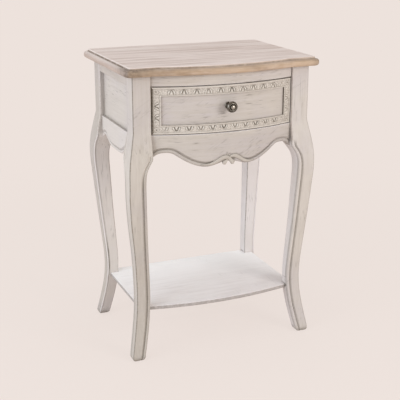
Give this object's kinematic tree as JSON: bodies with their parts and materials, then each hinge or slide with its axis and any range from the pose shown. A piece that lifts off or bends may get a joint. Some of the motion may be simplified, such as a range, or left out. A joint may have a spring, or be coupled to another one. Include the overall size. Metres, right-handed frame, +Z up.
{
  "type": "nightstand",
  "caption": "Bow-front nightstand in antique painted wood with a limed oak top, a drawer with a carved edging and a round knob, cabriole legs, scalloped aprons and a low shelf.",
  "frame": {"origin": "middle of the object's box in plan, at the floor", "axes": "+Z up, -Y towards the drawer's front, +X to the right of a person facing the drawer"},
  "size_m": [0.464, 0.3714, 0.68],
  "materials": {
    "limed_oak": "limed, satin",
    "antique_paint": "chalk paint, rubbed and glazed",
    "shelf_paint": "chalk paint, rubbed",
    "painted_plywood": "thin chalk paint",
    "bare_wood": "planed",
    "plywood": "sanded",
    "pewter": "antique pewter",
    "steel": "zinc plated"
  },
  "bodies": {
    "case": {"top_board": "limed_oak", "front_top_rail": "antique_paint", "front_apron": "antique_paint", "back_top_rail": "antique_paint", "back_bottom_rail": "antique_paint", "back_panel": "painted_plywood", "shelf": "shelf_paint", "rail_dowels": "bare_wood", "shelf_dowels": "bare_wood", "top_screws": "steel", "leg_front_left": "antique_paint", "leg_front_right": "antique_paint", "leg_back_left": "antique_paint", "leg_back_right": "antique_paint", "side_top_rail_left": "antique_paint", "side_panel_left": "antique_paint", "side_apron_left": "antique_paint", "drawer_runner_left": "bare_wood", "drawer_guide_left": "bare_wood", "drawer_kicker_left": "bare_wood", "drawer_stop_left": "bare_wood", "top_cleat_left": "bare_wood", "side_top_rail_right": "antique_paint", "side_panel_right": "antique_paint", "side_apron_right": "antique_paint", "drawer_runner_right": "bare_wood", "drawer_guide_right": "bare_wood", "drawer_kicker_right": "bare_wood", "drawer_stop_right": "bare_wood", "top_cleat_right": "bare_wood"},
    "drawer": {"drawer_front": "antique_paint", "drawer_back": "bare_wood", "drawer_bottom": "plywood", "drawer_knob": "pewter", "knob_rose": "pewter", "knob_screw": "steel", "drawer_dowels": "bare_wood", "drawer_moulding_top": "antique_paint", "drawer_moulding_bottom": "antique_paint", "drawer_moulding_left": "antique_paint", "drawer_moulding_right": "antique_paint", "drawer_side_left": "bare_wood", "drawer_side_right": "bare_wood"}
  },
  "joints": [
    {"name": "drawer_slide", "type": "slide", "parent": "case", "child": "drawer", "axis": [0, -1, 0], "range_m": [0, 0.16]}
  ]
}
